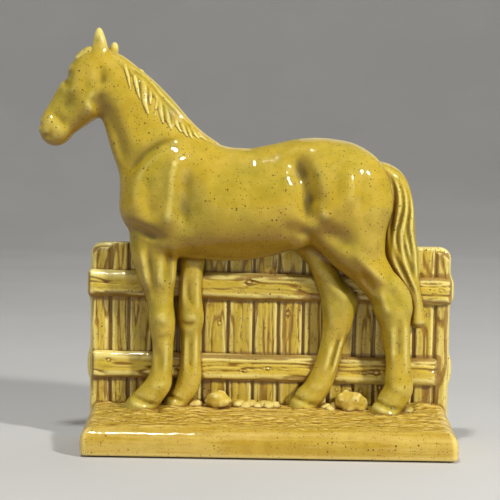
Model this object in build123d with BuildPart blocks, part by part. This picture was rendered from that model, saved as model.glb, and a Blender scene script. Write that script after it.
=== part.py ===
from build123d import *
import os
from math import cos, radians, sin

# A ceramic book end: a horse standing in front of a plank fence on a plinth with a rounded lip.
# Millimetres. +Z up, the front faces -Y, and the origin is the centre of the underside.
# The back of the fence is the flat face that books lean on.

# ---------------------------------------------------------------- driving dimensions
BASE_WIDTH = 218.0
BASE_DEPTH = 76.0
FELT_THICKNESS = 1.2
FELT_INSET = 4.0
PLINTH_TOP = 15.0
PLINTH_WALL = 6.0
PLINTH_ROOF = 5.0
LIP_RADIUS = 4.5
CORNER_RADIUS = 5.0

GROUND_SETBACK = 5.0  # from the lip's front to the ground's front edge
GROUND_FRONT_RISE = 1.5
GROUND_BACK_Z = 21.5

FENCE_WIDTH = 218.0
FENCE_TOP = 120.0
FENCE_FRONT_Y = 22.0  # front of the planks
FENCE_BACK_Y = BASE_DEPTH / 2
PLANK_THICKNESS = 4.0
PLANK_GAP = 1.8
PLANK_EDGE = 1.2
PLANK_WIDTHS = (12.5, 11, 14.5, 15.5, 15, 15, 15.5, 15, 15, 15.5, 15.5, 12, 12, 12, 12.5, 9.5)
PANEL_CORNER = 7.0

RAIL_THICKNESS = 4.5
RAIL_HEIGHT = 16.5
RAIL_EDGE = 1.5
RAIL_OVERHANG = 1.5  # how far the top rail stands out past each side of the fence
RAIL_BOTTOM_WIDTH = 211.0
RAIL_BOTTOM_X = -2.5
RAIL_SLOPE = 0.55  # degrees, down towards the right
RAIL_TOP_Z = 94.5
RAIL_BOTTOM_Z = 45.5

BODY_Y = 8.0  # middle plane of the torso
NEAR_Y = 8.0  # middle of the near legs
FAR_Y = 17.0  # middle of the far legs

# A row of a limb is (x, z, half width across the limb, half depth, lean of its axis from +Z towards +X).
TORSO = (
    (-84, 143, 13, 11, 90),
    (-76, 146, 26, 17, 90),
    (-62, 146, 33, 20, 90),
    (-44, 146, 34.5, 21, 90),
    (-24, 145, 33.5, 21.5, 90),
    (-4, 147, 32.5, 21.5, 90),
    (16, 151, 31, 20.5, 90),
    (34, 153, 30.5, 20, 90),
    (48, 151, 28.5, 18.5, 90),
    (59, 150, 24, 15, 90),
    (65, 149, 17.5, 10.5, 90),
    (67.5, 149, 11, 6, 90),
)
NECK = (
    (-60, 162, 28, 16, -36),
    (-65, 170, 26.5, 15, -36),
    (-73, 181, 23.5, 13.5, -38),
    (-79.5, 192.5, 20.5, 12.5, -40),
    (-86, 203, 18, 11.5, -38),
    (-93, 213, 16, 11, -36),
    (-98, 222, 13, 9.5, -32),
)
HEAD = (
    (-104, 227, 9, 8, 222),
    (-109, 219, 14, 10.5, 215),
    (-113, 211, 15.5, 11, 217),
    (-119, 202, 13, 9.5, 217),
    (-125, 194, 11, 8, 217),
    (-130, 188, 10, 7.8, 217),
    (-133.5, 183, 6.5, 5.5, 222),
)
FORELEG_NEAR = (
    (-66, 128, 19, 11, 4),
    (-68, 111, 13.5, 10, 0),
    (-67, 99, 11, 9.5, -3),
    (-66.5, 87, 9.5, 8.5, -3),
    (-65.5, 76, 8.5, 8, -3),
    (-64, 64, 7, 7, -5),
    (-63.5, 52, 6.3, 6.5, 0),
    (-65, 41, 7.2, 7, 25),
    (-70, 33, 6.8, 7, 38),
)
FORELEG_FAR = (
    (-49, 118, 9, 7, 0),
    (-48.5, 100, 7, 6.5, 0),
    (-48.5, 87, 7, 6.5, 0),
    (-47.5, 75, 7.2, 6.5, 0),
    (-47.5, 63, 6, 6, 0),
    (-47.5, 51, 5.8, 6, 0),
    (-49, 40, 6.5, 6.5, 18),
    (-52.5, 33, 6.3, 6.5, 30),
)
HINDLEG_NEAR = (
    (42, 148, 22, 13, -8),
    (45, 134, 21, 13, -14),
    (52, 121, 17, 12, -28),
    (59, 111, 13.5, 10.5, -30),
    (66, 102, 11.5, 9.5, -34),
    (72, 92, 10.5, 8.5, -24),
    (75, 80, 9, 8, -8),
    (75.5, 66, 7.3, 7.5, 0),
    (76.5, 52, 7.2, 7.2, -3),
    (76, 41, 8.2, 7.5, 15),
    (73, 33, 7.5, 7.5, 26),
)
HINDLEG_FAR = (
    (20, 122, 9, 7, -30),
    (29, 111, 9.5, 7, -32),
    (35, 100, 8.5, 7, -30),
    (40, 89, 8.5, 7, -12),
    (40.5, 77, 8.5, 7, 8),
    (37.5, 65, 7.2, 6.5, 14),
    (34, 53, 7, 6.5, 16),
    (29.5, 42, 7.5, 7, 24),
    (25, 34, 7, 7, 34),
)
TAIL = (
    (63, 172, 5, 7, 60),
    (71, 166, 6.5, 7.5, 130),
    (76, 156, 7, 7.5, 160),
    (77.5, 143, 8, 7.5, 172),
    (76.5, 129, 9.5, 7.5, 180),
    (79, 114, 8.5, 7, 165),
    (83.5, 101, 6, 6, 160),
    (87, 88, 4, 5, 164),
    (89.5, 79, 2.5, 3.5, 164),
)
SHEATH = (
    (22, 131, 4, 5, 225),
    (17, 126, 6, 6, 225),
    (13.5, 122, 5, 5, 225),
    (11, 119.5, 2.5, 2.5, 225),
)
EAR_NEAR = (
    (-104.5, 228, 6, 4.5, 0),
    (-104, 236, 5, 4, 5),
    (-103.5, 242, 3.2, 2.8, 5),
    (-103, 248, 0.8, 0.8, 5),
)
EAR_FAR = (
    (-97, 226, 4.5, 4, 5),
    (-96, 232, 3.6, 3.2, 5),
    (-95, 239.5, 0.8, 0.8, 5),
)
MANE = (
    (-99, 229, 5, 5, 110),
    (-90, 226, 6, 5, 120),
    (-80, 218.5, 7, 5, 128),
    (-70, 208, 7.5, 5, 135),
    (-61, 198, 7.5, 5, 138),
    (-52, 188.5, 6.5, 5, 132),
    (-42, 181.5, 4, 4, 120),
    (-34, 178, 1.5, 2, 110),
)
EAR_NEAR_Y = 2.5
EAR_FAR_Y = 13.0
MANE_Y = 4.5
TAIL_Y = 12.0

# A hoof is (x of its coronet, x of its sole, y, half width of the coronet, half width of the sole).
HOOVES = (
    ("hoof_fore_near", (-72.5, -76.5, NEAR_Y, 7.5, 10)),
    ("hoof_fore_far", (-53.5, -55.5, FAR_Y - 3, 6.5, 8.5)),
    ("hoof_hind_near", (71.5, 69.5, NEAR_Y - 2, 8, 9.5)),
    ("hoof_hind_far", (23, 20.5, FAR_Y - 3, 7, 9.5)),
)
HOOF_TOP = 31.0
FOOT_Z = 18.0  # hooves and stones start inside the ground

# A stone is (x, y, half length, half depth, top z).
ROCK_LEFT = (-31, 14, 6, 7, 31)
ROCK_RIGHT = (50, 12, 9, 8, 32)
PEBBLES = (
    (-45, 16, 3.4, 3.5, 25),
    (-17.8, 14, 3.6, 4, 25.5),
    (-10.5, 15, 3.2, 4, 25),
    (-3.6, 14.5, 3, 4, 25.2),
    (2.6, 15, 2.6, 3.5, 24.5),
    (34, 14, 2.6, 3, 24),
    (39.2, 15, 2, 3, 24.5),
    (83, 10, 3, 4, 24),
)


# ---------------------------------------------------------------- helpers
def oval(x, z, half_width, half_depth, lean, y=BODY_Y):
    """An oval section square to a limb whose axis leans from +Z towards +X."""
    axis = Vector(sin(radians(lean)), 0, cos(radians(lean)))
    across = Vector(cos(radians(lean)), 0, -sin(radians(lean)))
    with BuildSketch(Plane(origin=(x, y, z), x_dir=across, z_dir=axis)) as section:
        Ellipse(half_width, half_depth)
    return section.sketch


def limb(rows, y=BODY_Y):
    """The sections of a limb, in order."""
    return [oval(*row, y=y) for row in rows]


def level_oval(x, y, z, half_length, half_depth):
    """A level oval section of a hoof or a stone."""
    with BuildSketch(Plane.XY.offset(z)) as section:
        with Locations((x, y)):
            Ellipse(half_length, half_depth)
    return section.sketch


def hoof_sections(coronet_x, sole_x, y, coronet_half, sole_half):
    """A hoof spreads from the coronet to the sole."""
    top = level_oval(coronet_x, y, HOOF_TOP, coronet_half, coronet_half)
    sole = level_oval(sole_x, y, FOOT_Z, sole_half, sole_half * 0.9)
    return [top, sole]


def stone_sections(x, y, half_length, half_depth, top):
    """A stone bulges low and closes to a small flat at the top."""
    rise = top - FOOT_Z
    return [
        level_oval(x, y, FOOT_Z, half_length * 0.9, half_depth * 0.9),
        level_oval(x, y, FOOT_Z + rise * 0.4, half_length, half_depth),
        level_oval(x, y, FOOT_Z + rise * 0.8, half_length * 0.75, half_depth * 0.75),
        level_oval(x, y, top, half_length * 0.35, half_depth * 0.35),
    ]


def save(piece, name):
    """Label a finished piece and write it."""
    piece.part.label = name
    export_step(piece.part, f"parts/{name}.step")


os.makedirs("parts", exist_ok=True)

# ---------------------------------------------------------------- base
with BuildPart() as plinth:
    with BuildSketch(Plane.XY.offset(FELT_THICKNESS)):
        RectangleRounded(BASE_WIDTH, BASE_DEPTH, CORNER_RADIUS)
    extrude(amount=PLINTH_TOP - FELT_THICKNESS)
    rim = plinth.faces().sort_by(Axis.Z)[-1].edges()
    fillet(rim.filter_by(lambda edge: edge.center().Y < FENCE_FRONT_Y), LIP_RADIUS)
    with BuildSketch(Plane.XY.offset(FELT_THICKNESS)):
        RectangleRounded(BASE_WIDTH - 2 * PLINTH_WALL, BASE_DEPTH - 2 * PLINTH_WALL, CORNER_RADIUS - 2)
    extrude(amount=PLINTH_TOP - PLINTH_ROOF - FELT_THICKNESS, mode=Mode.SUBTRACT)
save(plinth, "plinth")

with BuildPart() as base_felt:
    with BuildSketch(Plane.XY):
        RectangleRounded(BASE_WIDTH - 2 * FELT_INSET, BASE_DEPTH - 2 * FELT_INSET, CORNER_RADIUS - 2)
    extrude(amount=FELT_THICKNESS)
save(base_felt, "base_felt")

ground_front_y = -BASE_DEPTH / 2 + GROUND_SETBACK
ground_half_width = BASE_WIDTH / 2 - GROUND_SETBACK
with BuildPart() as ground:
    with BuildSketch(Plane.YZ.offset(-ground_half_width)):
        with BuildLine():
            Polyline(
                (ground_front_y, PLINTH_TOP),
                (FENCE_FRONT_Y, PLINTH_TOP),
                (FENCE_FRONT_Y, GROUND_BACK_Z),
                (ground_front_y + 3, PLINTH_TOP + GROUND_FRONT_RISE),
                close=True,
            )
        make_face()
    extrude(amount=2 * ground_half_width)
save(ground, "ground")

# ---------------------------------------------------------------- fence
panel_front_y = FENCE_FRONT_Y + PLANK_THICKNESS
with BuildPart() as fence_panel:
    with BuildSketch(Plane.XZ.offset(-FENCE_BACK_Y)):  # this plane faces the front
        with Locations((0, (PLINTH_TOP + FENCE_TOP) / 2)):
            Rectangle(FENCE_WIDTH, FENCE_TOP - PLINTH_TOP)
    extrude(amount=FENCE_BACK_Y - panel_front_y)
    upright = fence_panel.edges().filter_by(Axis.Y).group_by(Axis.Z)[-1]
    fillet(upright, PANEL_CORNER)
save(fence_panel, "fence_panel")

plank_left = -sum(PLANK_WIDTHS) / 2
last_plank = len(PLANK_WIDTHS) - 1
plank_bodies = []
for index, plank_width in enumerate(PLANK_WIDTHS):
    plank_middle = plank_left + plank_width / 2
    plank_left += plank_width
    top_drop = 3.0 if index in (0, last_plank) else 0.0
    with BuildPart() as plank:
        with BuildSketch(Plane.XZ.offset(-panel_front_y)):
            with Locations((plank_middle, (PLINTH_TOP + FENCE_TOP - top_drop) / 2)):
                Rectangle(plank_width - PLANK_GAP, FENCE_TOP - top_drop - PLINTH_TOP)
        extrude(amount=PLANK_THICKNESS)
        front = plank.faces().sort_by(Axis.Y)[0]
        fillet(front.edges().filter_by(Axis.Z) + front.edges().sort_by(Axis.Z)[-1:], PLANK_EDGE)
    save(plank, f"fence_plank_{index + 1:02d}")
    plank_bodies.append(plank.part)


with BuildPart() as rail_top:
    with BuildSketch(Plane.XZ.offset(-FENCE_FRONT_Y)):
        with Locations((0, RAIL_TOP_Z)):
            Rectangle(FENCE_WIDTH + 2 * RAIL_OVERHANG, RAIL_HEIGHT, rotation=-RAIL_SLOPE)
    extrude(amount=RAIL_THICKNESS)
    fillet(rail_top.faces().sort_by(Axis.Y)[0].edges(), RAIL_EDGE)
save(rail_top, "rail_top")

with BuildPart() as rail_bottom:
    with BuildSketch(Plane.XZ.offset(-FENCE_FRONT_Y)):
        with Locations((RAIL_BOTTOM_X, RAIL_BOTTOM_Z)):
            Rectangle(RAIL_BOTTOM_WIDTH, RAIL_HEIGHT, rotation=-RAIL_SLOPE)
    extrude(amount=RAIL_THICKNESS)
    fillet(rail_bottom.faces().sort_by(Axis.Y)[0].edges(), RAIL_EDGE)
save(rail_bottom, "rail_bottom")

fence_bodies = [fence_panel.part, rail_top.part, rail_bottom.part] + plank_bodies

# ---------------------------------------------------------------- horse
# Each piece is cut by the neighbours made before it, so that two pieces meet on one face.
with BuildPart() as horse_torso:
    loft(sections=limb(TORSO))
    add(fence_bodies, mode=Mode.SUBTRACT)
save(horse_torso, "horse_torso")

with BuildPart() as horse_neck:
    loft(sections=limb(NECK))
    add(horse_torso.part, mode=Mode.SUBTRACT)
save(horse_neck, "horse_neck")

with BuildPart() as horse_head:
    loft(sections=limb(HEAD, y=BODY_Y - 1))
    add(horse_neck.part, mode=Mode.SUBTRACT)
save(horse_head, "horse_head")

with BuildPart() as ear_near:
    loft(sections=limb(EAR_NEAR, y=EAR_NEAR_Y))
    add([horse_head.part, horse_neck.part], mode=Mode.SUBTRACT)
save(ear_near, "ear_near")

with BuildPart() as ear_far:
    loft(sections=limb(EAR_FAR, y=EAR_FAR_Y))
    add([horse_head.part, horse_neck.part, ear_near.part], mode=Mode.SUBTRACT)
save(ear_far, "ear_far")

with BuildPart() as mane:
    loft(sections=[oval(*row, y=MANE_Y) for row in MANE])
    add([horse_head.part, horse_neck.part, horse_torso.part, ear_near.part, ear_far.part], mode=Mode.SUBTRACT)
save(mane, "mane")

with BuildPart() as hindleg_near:
    loft(sections=limb(HINDLEG_NEAR, y=NEAR_Y))
    add([horse_torso.part, ground.part] + fence_bodies, mode=Mode.SUBTRACT)
save(hindleg_near, "hindleg_near")

with BuildPart() as hindleg_far:
    loft(sections=limb(HINDLEG_FAR, y=FAR_Y))
    add([horse_torso.part, hindleg_near.part, ground.part] + fence_bodies, mode=Mode.SUBTRACT)
save(hindleg_far, "hindleg_far")

with BuildPart() as foreleg_near:
    loft(sections=limb(FORELEG_NEAR, y=NEAR_Y))
    add([horse_torso.part, horse_neck.part, ground.part] + fence_bodies, mode=Mode.SUBTRACT)
save(foreleg_near, "foreleg_near")

with BuildPart() as foreleg_far:
    loft(sections=limb(FORELEG_FAR, y=FAR_Y))
    add([horse_torso.part, foreleg_near.part, ground.part] + fence_bodies, mode=Mode.SUBTRACT)
save(foreleg_far, "foreleg_far")

with BuildPart() as tail:
    loft(sections=limb(TAIL, y=TAIL_Y))
    add([horse_torso.part, hindleg_near.part] + fence_bodies, mode=Mode.SUBTRACT)
save(tail, "tail")

with BuildPart() as sheath:
    loft(sections=limb(SHEATH, y=NEAR_Y))
    add([horse_torso.part, hindleg_near.part, hindleg_far.part], mode=Mode.SUBTRACT)
save(sheath, "sheath")

legs = [foreleg_near.part, foreleg_far.part, hindleg_near.part, hindleg_far.part]
hoof_bodies = []
for name, row in HOOVES:
    with BuildPart() as hoof:
        loft(sections=hoof_sections(*row))
        add(legs + hoof_bodies + [ground.part] + fence_bodies, mode=Mode.SUBTRACT)
    save(hoof, name)
    hoof_bodies.append(hoof.part)

# ---------------------------------------------------------------- stones
setting = legs + hoof_bodies + [ground.part] + fence_bodies
with BuildPart() as rock_left:
    loft(sections=stone_sections(*ROCK_LEFT))
    add(setting, mode=Mode.SUBTRACT)
save(rock_left, "rock_left")

with BuildPart() as rock_right:
    loft(sections=stone_sections(*ROCK_RIGHT))
    add(setting, mode=Mode.SUBTRACT)
save(rock_right, "rock_right")

with BuildPart() as pebbles:
    for row in PEBBLES:
        loft(sections=stone_sections(*row))
    add(setting + [rock_left.part, rock_right.part], mode=Mode.SUBTRACT)
save(pebbles, "pebbles")
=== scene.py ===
"""A glazed ceramic book end, a horse at a plank fence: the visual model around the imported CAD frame.

The object is sculpted in "clay": signed distances on a grid, in millimetres in the row's frame, negative
inside. Fence boards are lofted meshes with carved grain. Every mesh is scaled to metres when it becomes a
Blender object.
"""

import math
from functools import reduce
from itertools import product

import bpy
import numpy as np
from mathutils import Matrix, Vector


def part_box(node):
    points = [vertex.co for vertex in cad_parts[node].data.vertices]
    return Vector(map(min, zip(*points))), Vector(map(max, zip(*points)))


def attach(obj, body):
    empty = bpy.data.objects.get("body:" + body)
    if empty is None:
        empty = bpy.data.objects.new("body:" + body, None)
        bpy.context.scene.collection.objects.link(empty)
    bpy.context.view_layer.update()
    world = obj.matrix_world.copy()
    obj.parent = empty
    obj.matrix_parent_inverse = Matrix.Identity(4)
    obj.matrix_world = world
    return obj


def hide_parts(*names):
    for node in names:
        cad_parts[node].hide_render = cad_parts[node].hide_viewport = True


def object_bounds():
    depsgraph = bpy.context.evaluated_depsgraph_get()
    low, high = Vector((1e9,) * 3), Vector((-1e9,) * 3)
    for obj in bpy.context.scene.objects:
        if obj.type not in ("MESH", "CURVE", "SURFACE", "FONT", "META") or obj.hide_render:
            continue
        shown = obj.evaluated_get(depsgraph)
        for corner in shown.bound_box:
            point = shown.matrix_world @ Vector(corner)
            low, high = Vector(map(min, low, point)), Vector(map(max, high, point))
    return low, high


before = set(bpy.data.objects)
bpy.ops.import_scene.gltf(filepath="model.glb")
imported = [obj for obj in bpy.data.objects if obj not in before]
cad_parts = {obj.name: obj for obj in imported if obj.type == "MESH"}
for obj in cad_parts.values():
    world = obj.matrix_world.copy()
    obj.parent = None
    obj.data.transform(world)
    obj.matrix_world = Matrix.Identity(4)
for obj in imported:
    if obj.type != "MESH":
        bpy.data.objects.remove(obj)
CAD_LOW, CAD_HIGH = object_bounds()

MM = 0.001
BODY_VOXEL = 0.85
HAIR_VOXEL = 0.6
BASE_VOXEL = 0.8
STONE_VOXEL = 0.5
BOARD_STEP = 0.6
SOFTEN_ROUNDS = 3
BROAD_ROUNDS = 40
PEBBLE_REACH = 15.0
PEBBLE_FOOT_Z = 19.0
FAR_AWAY = 50.0
CUBE_CORNERS = tuple(product((0, 1), repeat=3))


def node_box(name):
    """A CAD node's lowest and highest corners, in millimetres."""
    low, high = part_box(name)
    return np.array(low) / MM, np.array(high) / MM


PLINTH_LOW, PLINTH_HIGH = node_box("plinth")
PANEL_LOW, PANEL_HIGH = node_box("fence_panel")
PLANK_FRONT_Y = node_box("fence_plank_02")[0][1]
GROUND_TOP = node_box("ground")[1][2]


# ---- noise
def lattice(ix, iy, iz, seed):
    """A repeatable random number from 0 to 1 for each whole-number point."""
    n = (ix * 374761393 + iy * 668265263 + iz * 2147483647 + seed * 974634777) & 0xFFFFFFFF
    n = ((n ^ (n >> 13)) * 1274126177) & 0xFFFFFFFF
    n = (n ^ (n >> 16)) & 0xFFFFFFFF
    return n / 4294967295.0


def noise(x, y, z=0.0, seed=0):
    """Smooth noise from -1 to 1 with a feature size of 1."""
    x, y, z = np.broadcast_arrays(np.asarray(x, float), y, z)
    fx, fy, fz = np.floor(x), np.floor(y), np.floor(z)
    ix, iy, iz = (f.astype(np.int64) for f in (fx, fy, fz))
    u, v, w = (t * t * (3 - 2 * t) for t in (x - fx, y - fy, z - fz))
    total = 0.0
    for dx, dy, dz in CUBE_CORNERS:
        share = (u if dx else 1 - u) * (v if dy else 1 - v) * (w if dz else 1 - w)
        total = total + share * lattice(ix + dx, iy + dy, iz + dz, seed)
    return total * 2 - 1


def layered(x, y, z=0.0, seed=0, octaves=3):
    """Noise with finer noise on top."""
    total, size, share = 0.0, 1.0, 0.0
    for octave in range(octaves):
        total = total + size * noise(x * 2**octave, y * 2**octave, z * 2**octave, seed + octave)
        share += size
        size *= 0.5
    return total / share


def smoothstep(low, high, value):
    t = np.clip((value - low) / (high - low), 0, 1)
    return t * t * (3 - 2 * t)


# ---- clay
def spline(rows, spacing=1.0):
    """A smooth line through rows that start with a place, with a sample every spacing millimetres or so."""
    points = np.array(rows, float)
    padded = np.vstack([2 * points[0] - points[1], points, 2 * points[-1] - points[-2]])
    out = []
    for a, b, c, d in zip(padded, padded[1:], padded[2:], padded[3:]):
        count = max(2, int(np.linalg.norm((c - b)[:3]) / spacing) + 1)
        t = np.linspace(0, 1, count, endpoint=False)[:, None]
        square = 2 * a - 5 * b + 4 * c - d
        cube = 3 * b - a - 3 * c + d
        out.append(0.5 * (2 * b + (c - a) * t + square * t**2 + cube * t**3))
    return np.vstack(out + [points[-1:]])


def side_line(points, spacing):
    """A smooth line through (x, z) points of the side view."""
    return spline([(x, 0.0, z) for x, z in points], spacing)


def nearest_sample(gx, gz, path, radii):
    """For each column of the side view, the path's nearest sample and how far off its middle is."""
    best = np.full(gx.shape, np.inf)
    index = np.zeros(gx.shape, int)
    for i, (place, radius) in enumerate(zip(path, radii)):
        gap = np.hypot(gx - place[0], gz - place[2]) - radius
        closer = gap < best
        best[closer] = gap[closer]
        index[closer] = i
    return index, np.hypot(gx - path[index, 0], gz - path[index, 2])


def melt(a, b, blend):
    """Joins two shapes with a soft edge."""
    overlap = np.clip(1 - np.abs(a - b) / blend, 0, 1)
    return np.minimum(a, b) - overlap * overlap * blend * 0.25


def shared(a, b, blend):
    """What two shapes have in common, with a soft edge."""
    return -melt(-a, -b, blend)


class Clay:
    """Signed distance on a grid."""

    def __init__(self, low, high, step):
        self.low, self.step = np.array(low, float), step
        self.count = np.ceil((np.array(high, float) - self.low) / step).astype(int) + 1
        self.axes = [self.low[i] + step * np.arange(self.count[i]) for i in range(3)]
        self.field = np.full(self.count, FAR_AWAY, np.float32)

    def window(self, low, high):
        """The part of the grid between two corners: its slices and its coordinates."""
        first = np.clip(np.floor((np.array(low) - self.low) / self.step).astype(int), 0, self.count - 1)
        last = np.clip(np.ceil((np.array(high) - self.low) / self.step).astype(int) + 1, 1, self.count)
        slices = tuple(slice(a, b) for a, b in zip(first, last))
        return slices, [axis[s] for axis, s in zip(self.axes, slices)]

    def side_view(self, low, high, path, radii):
        """The grid between two corners, and for each of its columns what nearest_sample gives."""
        slices, (xs, ys, zs) = self.window(low, high)
        gx, gz = np.meshgrid(xs, zs, indexing="ij")
        return slices, ys, *nearest_sample(gx, gz, path, radii)

    def limb(self, rows, blend, spacing=1.0):
        """Adds a limb through rows of (x, y, z, radius, half depth in front, half depth behind)."""
        path = spline(rows, spacing)
        radii, front, behind = np.maximum(path[:, (3, 4, -1)], 0.3).T
        margin = blend + 3 * self.step
        low = (path[:, :3] - np.stack([radii, front, radii], 1)).min(0) - margin
        high = (path[:, :3] + np.stack([radii, behind, radii], 1)).max(0) + margin
        slices, ys, index, reach = self.side_view(low, high, path, radii)
        offset = ys[None, :, None] - path[index, 1][:, None, :]
        depth = np.where(offset < 0, front[index][:, None, :], behind[index][:, None, :])
        radius, reach = radii[index][:, None, :], reach[:, None, :]
        scaled = np.sqrt((reach / radius) ** 2 + (offset / depth) ** 2)
        slope = np.sqrt((reach / radius**2) ** 2 + (offset / depth**2) ** 2) + 1e-9
        shape = np.where(scaled < 1e-4, -np.minimum(radius, depth), scaled * (scaled - 1) / slope)
        self.field[slices] = melt(self.field[slices], shape, blend)

    def relief(self, points, width, height, near=True, far=False, ends=0.35):
        """Raises, or with a negative height sinks, a soft band along (x, z) points."""
        path = side_line(points, 0.7)
        low, high = path.min(0) - 3 * width, path.max(0) + 3 * width
        low[1], high[1] = self.axes[1][0], self.axes[1][-1]
        slices, ys, index, reach = self.side_view(low, high, path, np.zeros(len(path)))
        along = index / (len(path) - 1)
        fade = smoothstep(-0.02, ends, along) * smoothstep(-0.02, ends, 1 - along)
        bump = height * np.exp(-((reach / width) ** 2)) * fade
        side = 1 - smoothstep(BODY_Y - 3, BODY_Y + 3, ys)
        weight = side * near + (1 - side) * far
        self.field[slices] -= (bump[:, None, :] * weight[None, :, None]).astype(np.float32)

    def soften(self, rounds):
        """Rubs the surface smooth with a small blur."""
        field = np.clip(self.field, -12, 12)
        for axis in (0, 1, 2) * rounds:
            field = field.swapaxes(0, axis)
            ahead = np.concatenate([field[1:], field[-1:]])
            behind = np.concatenate([field[:1], field[:-1]])
            field = (0.5 * field + 0.25 * (ahead + behind)).swapaxes(0, axis)
        self.field = field

    def sample(self, points):
        """The distance at any points, by trilinear reading."""
        place = np.clip((points - self.low) / self.step, 0, self.count - 1.001)
        cell = place.astype(int)
        t = place - cell
        total = 0.0
        for corner in CUBE_CORNERS:
            x, y, z = np.where(corner, t, 1 - t).T
            total = total + x * y * z * self.field[tuple((cell + corner).T)]
        return total

    def slope(self, points):
        """The direction in which the distance grows."""
        steps = np.eye(3) * self.step * 0.5
        return np.stack([self.sample(points + s) - self.sample(points - s) for s in steps], 1) / self.step

    def near_surface(self, xs, zs):
        """The y of the first clay met from the front, at each (x, z)."""
        ix, iz = (
            np.clip(np.round((place - self.low[axis]) / self.step).astype(int), 0, self.count[axis] - 1)
            for axis, place in ((0, xs), (2, zs))
        )
        columns = self.field[ix, :, iz]
        inside = columns < 0
        first = np.maximum(inside.argmax(1), 1)
        row = np.arange(len(first))
        outer, inner = columns[row, first - 1], columns[row, first]
        share = outer / np.maximum(outer - inner, 1e-6)
        return np.where(inside.any(1), self.axes[1][first - 1] + share * self.step, np.nan)

    def skin(self):
        """The surface as points and four-sided faces, by surface nets drawn on to the exact zero."""
        field, inside = self.field, self.field < 0
        last = np.array(inside.shape) - 1
        filled = sum(
            inside[tuple(slice(d, d + n) for d, n in zip(corner, last))].astype(np.uint8)
            for corner in CUBE_CORNERS
        )
        active = (filled > 0) & (filled < 8)
        cells = np.argwhere(active)
        number = np.full(active.shape, -1, np.int64)
        number[active] = np.arange(len(cells))
        total, crossings = np.zeros((len(cells), 3)), np.zeros(len(cells))
        units = np.eye(3, dtype=int)
        for axis, unit in enumerate(units):
            for start in (corner for corner in CUBE_CORNERS if corner[axis] == 0):
                a = field[tuple((cells + start).T)]
                b = field[tuple((cells + start + unit).T)]
                hit = (a < 0) != (b < 0)
                t = a[hit] / (a[hit] - b[hit])
                total[hit] += start + t[:, None] * unit
                crossings[hit] += 1
        points = self.low + (cells + total / crossings[:, None]) * self.step
        faces = []
        for axis in range(3):
            u, v = others = [a for a in range(3) if a != axis]
            a = np.take(inside, range(last[axis]), axis)
            b = np.take(inside, range(1, last[axis] + 1), axis)
            edges = np.argwhere(a != b)
            edges = edges[((edges[:, others] > 0) & (edges[:, others] < last[others])).all(1)]
            ring = [units[u] * du + units[v] * dv for du, dv in ((-1, -1), (0, -1), (0, 0), (-1, 0))]
            quads = np.stack([number[tuple((edges + offset).T)] for offset in ring], 1)
            flip = inside[tuple(edges.T)] == (axis == 1)
            quads[flip] = quads[flip][:, ::-1]
            faces.append(quads)
        for _ in range(2):
            distance, slope = self.sample(points), self.slope(points)
            size = np.maximum((slope**2).sum(1), 0.05)
            move = slope * (distance / size)[:, None]
            length = np.linalg.norm(move, axis=1, keepdims=True) + 1e-9
            points = points - move * np.minimum(1, 0.5 * self.step / length)
        return points, np.vstack(faces)


# ---- horse
# Rows are (x, y, z, radius seen from the side, half depth towards the viewer, half depth towards the fence).
# Where the last number is left out, it is the same as the one before it.
BODY_Y = 8.0

TORSO = (
    (-57, 8, 145, 32, 18, 19), (-42, 8, 145.5, 33.5, 20.5, 21), (-25, 8, 144.8, 33.8, 21.5, 21.5),
    (-10, 8, 145.7, 32.7, 21.5, 21.5), (3, 8, 149, 32, 21, 21), (16, 8, 153, 30.8, 20, 20),
    (28, 8, 153.5, 31.5, 20.5, 20), (37.5, 8, 154, 30, 18.5, 18),
)
NECK = (
    (-60, 8, 165, 27, 17), (-66, 8, 172, 26, 15.5), (-73.2, 8, 181.4, 23.7, 14),
    (-79.6, 7.5, 192.3, 21, 13), (-86, 7, 202.5, 18.5, 12), (-92.6, 7, 211, 16, 11),
    (-97.5, 7, 219.5, 12.5, 9.5),
)
CRANIUM = (
    (-103.5, 7, 225.8, 9.2, 8.5), (-108.8, 7, 223.3, 11, 9.8), (-111.8, 7, 216, 10.8, 10.3),
    (-115, 7, 209.5, 10, 9.5),
)
NOSE = (
    (-114, 7, 214, 10.5, 8.8), (-119.5, 7, 208.3, 9.2, 7.2), (-125, 7, 198.6, 9, 6.2),
    (-130, 7, 190.6, 8.7, 7.8), (-130, 7, 187.8, 9, 8.4), (-129.2, 7, 186.2, 8.8, 8.2),
)
CHEEK = (
    (-106.5, 7, 204.5, 9.5, 8), (-110, 7, 205, 11.5, 11.5), (-113, 7, 200.5, 10, 11),
    (-117.5, 7, 196, 8.8, 8.5), (-122.5, 7, 190.8, 7.4, 6.8), (-126, 7, 187, 7, 6.5),
)
EAR_NEAR = (
    (-103, 3.5, 231, 5.6, 4.4), (-103, 3, 236.5, 4.6, 3.6), (-103.3, 2.8, 241, 3.6, 3),
    (-103.5, 2.8, 245, 2.3, 2.1), (-103.6, 3, 247, 1.2, 1.2),
)
EAR_FAR = (
    (-97.5, 12.5, 228, 4.4, 3.8), (-96, 12.5, 233.5, 3.3, 3), (-95.2, 12.5, 236.8, 2.5, 2.3),
    (-95, 12.5, 238.6, 1.5, 1.4),
)
FORELEG_NEAR = (
    (-69.5, 6.5, 124, 15, 10.5, 14), (-70, 6.5, 116, 13.8, 10.5, 15), (-69, 6.8, 109, 12.5, 10.3, 15),
    (-68, 7, 101, 11, 9.8, 14), (-66.8, 8, 93, 9.0, 9.2, 13), (-65.7, 8, 84, 7.8, 8.7, 13),
    (-64.8, 8, 75.5, 8, 9.2, 13), (-64.4, 8, 69, 7.5, 8.4, 13), (-64, 8, 61, 6.3, 7.2, 13),
    (-64.2, 8, 51, 6.1, 6.6, 13), (-64.8, 8, 43, 6.6, 7.2, 13), (-66.4, 7.5, 36.5, 7.7, 7.9, 13),
    (-70.5, 7, 31, 7.4, 7.4, 12),
)
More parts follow.
